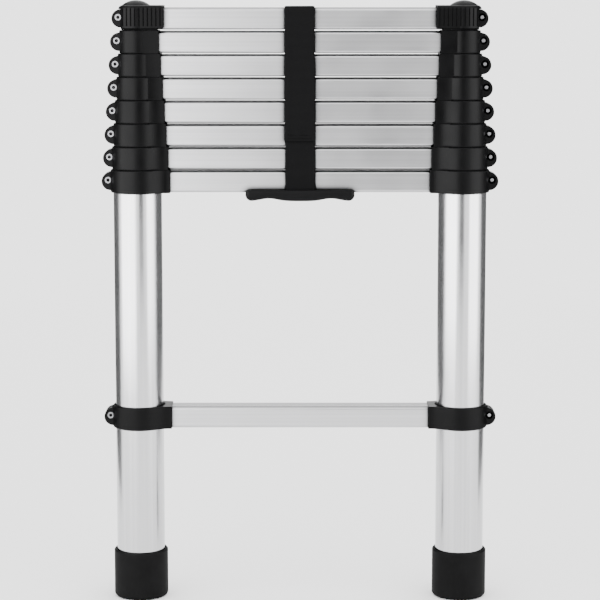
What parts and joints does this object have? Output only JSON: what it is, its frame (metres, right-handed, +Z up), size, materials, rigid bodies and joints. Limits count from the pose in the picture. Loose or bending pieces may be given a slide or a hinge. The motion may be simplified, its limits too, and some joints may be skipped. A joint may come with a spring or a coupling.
{
  "type": "telescoping ladder",
  "caption": "Closed aluminium telescoping ladder: nested tube stiles, stacked box rungs in black clamp collars, ribbed top caps, rubber feet, webbing strap and carry handle.",
  "frame": {"origin": "on the floor, halfway between the two feet", "axes": "+Z up along the stiles, +X along the rungs to the climber's right, -Y towards the climber"},
  "size_m": [0.4774, 0.066, 0.7298],
  "materials": {
    "tube_aluminium": "satin anodised, drawn",
    "rung_aluminium": "satin anodised, extruded",
    "collar_plastic": "fine moulded texture",
    "cap_plastic": "fine moulded texture",
    "foot_rubber": "matt rubber",
    "screw_steel": "zinc plated",
    "bolt_steel": "turned",
    "slider_plastic": "moulded",
    "bush_plastic": "natural acetal",
    "webbing": "woven polyester webbing",
    "handle_plastic": "moulded"
  },
  "bodies": {
    "base": {"stile_tubes_1": "tube_aluminium", "rubber_feet": "foot_rubber", "collars_1": "collar_plastic", "collars_2": "collar_plastic", "rung_1": "rung_aluminium", "rung_2": "rung_aluminium", "clamp_screws_1": "screw_steel", "strap_lower": "webbing", "carry_handle": "handle_plastic"},
    "section_2": {"stile_tubes_2": "tube_aluminium", "collars_3": "collar_plastic", "rung_3": "rung_aluminium", "clamp_screws_2": "screw_steel", "glide_bushes_2": "bush_plastic"},
    "section_3": {"stile_tubes_3": "tube_aluminium", "collars_4": "collar_plastic", "rung_4": "rung_aluminium", "clamp_screws_3": "screw_steel", "glide_bushes_3": "bush_plastic"},
    "section_4": {"stile_tubes_4": "tube_aluminium", "collars_5": "collar_plastic", "rung_5": "rung_aluminium", "clamp_screws_4": "screw_steel", "glide_bushes_4": "bush_plastic"},
    "section_5": {"stile_tubes_5": "tube_aluminium", "collars_6": "collar_plastic", "rung_6": "rung_aluminium", "clamp_screws_5": "screw_steel", "glide_bushes_5": "bush_plastic"},
    "section_6": {"stile_tubes_6": "tube_aluminium", "collars_7": "collar_plastic", "rung_7": "rung_aluminium", "clamp_screws_6": "screw_steel", "glide_bushes_6": "bush_plastic"},
    "section_7": {"stile_tubes_7": "tube_aluminium", "collars_8": "collar_plastic", "rung_8": "rung_aluminium", "clamp_screws_7": "screw_steel", "glide_bushes_7": "bush_plastic"},
    "section_8": {"stile_tubes_8": "tube_aluminium", "collars_9": "collar_plastic", "rung_9": "rung_aluminium", "clamp_screws_8": "screw_steel", "glide_bushes_8": "bush_plastic", "top_caps": "cap_plastic", "strap_upper": "webbing"},
    "release_slider_body_left": {"release_slider_left": "slider_plastic"},
    "lock_bolt_body_left_3": {"lock_bolt_left_3": "bolt_steel"},
    "lock_bolt_body_left_4": {"lock_bolt_left_4": "bolt_steel"},
    "lock_bolt_body_left_5": {"lock_bolt_left_5": "bolt_steel"},
    "lock_bolt_body_left_6": {"lock_bolt_left_6": "bolt_steel"},
    "lock_bolt_body_left_7": {"lock_bolt_left_7": "bolt_steel"},
    "lock_bolt_body_left_8": {"lock_bolt_left_8": "bolt_steel"},
    "release_slider_body_right": {"release_slider_right": "slider_plastic"},
    "lock_bolt_body_right_3": {"lock_bolt_right_3": "bolt_steel"},
    "lock_bolt_body_right_4": {"lock_bolt_right_4": "bolt_steel"},
    "lock_bolt_body_right_5": {"lock_bolt_right_5": "bolt_steel"},
    "lock_bolt_body_right_6": {"lock_bolt_right_6": "bolt_steel"},
    "lock_bolt_body_right_7": {"lock_bolt_right_7": "bolt_steel"},
    "lock_bolt_body_right_8": {"lock_bolt_right_8": "bolt_steel"}
  },
  "joints": [
    {"name": "section_2_slide", "type": "slide", "parent": "base", "child": "section_2", "axis": [0, 0, 1], "range_m": [0, 0.2602]},
    {"name": "section_3_slide", "type": "slide", "parent": "section_2", "child": "section_3", "axis": [0, 0, 1], "range_m": [0, 0.2602]},
    {"name": "section_4_slide", "type": "slide", "parent": "section_3", "child": "section_4", "axis": [0, 0, 1], "range_m": [0, 0.2602]},
    {"name": "section_5_slide", "type": "slide", "parent": "section_4", "child": "section_5", "axis": [0, 0, 1], "range_m": [0, 0.2602]},
    {"name": "section_6_slide", "type": "slide", "parent": "section_5", "child": "section_6", "axis": [0, 0, 1], "range_m": [0, 0.2602]},
    {"name": "section_7_slide", "type": "slide", "parent": "section_6", "child": "section_7", "axis": [0, 0, 1], "range_m": [0, 0.2602]},
    {"name": "section_8_slide", "type": "slide", "parent": "section_7", "child": "section_8", "axis": [0, 0, 1], "range_m": [0, 0.2602]},
    {"name": "release_slider_left", "type": "slide", "parent": "base", "child": "release_slider_body_left", "axis": [1, 0, 0], "range_m": [0, 0.006], "stiffness_N_per_m": 300, "springref_m": -0.006},
    {"name": "lock_bolt_left_3", "type": "slide", "parent": "section_2", "child": "lock_bolt_body_left_3", "axis": [1, 0, 0], "range_m": [0, 0.006], "stiffness_N_per_m": 300, "springref_m": -0.006},
    {"name": "lock_bolt_left_4", "type": "slide", "parent": "section_3", "child": "lock_bolt_body_left_4", "axis": [1, 0, 0], "range_m": [0, 0.006], "stiffness_N_per_m": 300, "springref_m": -0.006},
    {"name": "lock_bolt_left_5", "type": "slide", "parent": "section_4", "child": "lock_bolt_body_left_5", "axis": [1, 0, 0], "range_m": [0, 0.006], "stiffness_N_per_m": 300, "springref_m": -0.006},
    {"name": "lock_bolt_left_6", "type": "slide", "parent": "section_5", "child": "lock_bolt_body_left_6", "axis": [1, 0, 0], "range_m": [0, 0.006], "stiffness_N_per_m": 300, "springref_m": -0.006},
    {"name": "lock_bolt_left_7", "type": "slide", "parent": "section_6", "child": "lock_bolt_body_left_7", "axis": [1, 0, 0], "range_m": [0, 0.006], "stiffness_N_per_m": 300, "springref_m": -0.006},
    {"name": "lock_bolt_left_8", "type": "slide", "parent": "section_7", "child": "lock_bolt_body_left_8", "axis": [1, 0, 0], "range_m": [0, 0.006], "stiffness_N_per_m": 300, "springref_m": -0.006},
    {"name": "release_slider_right", "type": "slide", "parent": "base", "child": "release_slider_body_right", "axis": [-1, 0, 0], "range_m": [0, 0.006], "stiffness_N_per_m": 300, "springref_m": -0.006},
    {"name": "lock_bolt_right_3", "type": "slide", "parent": "section_2", "child": "lock_bolt_body_right_3", "axis": [-1, 0, 0], "range_m": [0, 0.006], "stiffness_N_per_m": 300, "springref_m": -0.006},
    {"name": "lock_bolt_right_4", "type": "slide", "parent": "section_3", "child": "lock_bolt_body_right_4", "axis": [-1, 0, 0], "range_m": [0, 0.006], "stiffness_N_per_m": 300, "springref_m": -0.006},
    {"name": "lock_bolt_right_5", "type": "slide", "parent": "section_4", "child": "lock_bolt_body_right_5", "axis": [-1, 0, 0], "range_m": [0, 0.006], "stiffness_N_per_m": 300, "springref_m": -0.006},
    {"name": "lock_bolt_right_6", "type": "slide", "parent": "section_5", "child": "lock_bolt_body_right_6", "axis": [-1, 0, 0], "range_m": [0, 0.006], "stiffness_N_per_m": 300, "springref_m": -0.006},
    {"name": "lock_bolt_right_7", "type": "slide", "parent": "section_6", "child": "lock_bolt_body_right_7", "axis": [-1, 0, 0], "range_m": [0, 0.006], "stiffness_N_per_m": 300, "springref_m": -0.006},
    {"name": "lock_bolt_right_8", "type": "slide", "parent": "section_7", "child": "lock_bolt_body_right_8", "axis": [-1, 0, 0], "range_m": [0, 0.006], "stiffness_N_per_m": 300, "springref_m": -0.006}
  ]
}
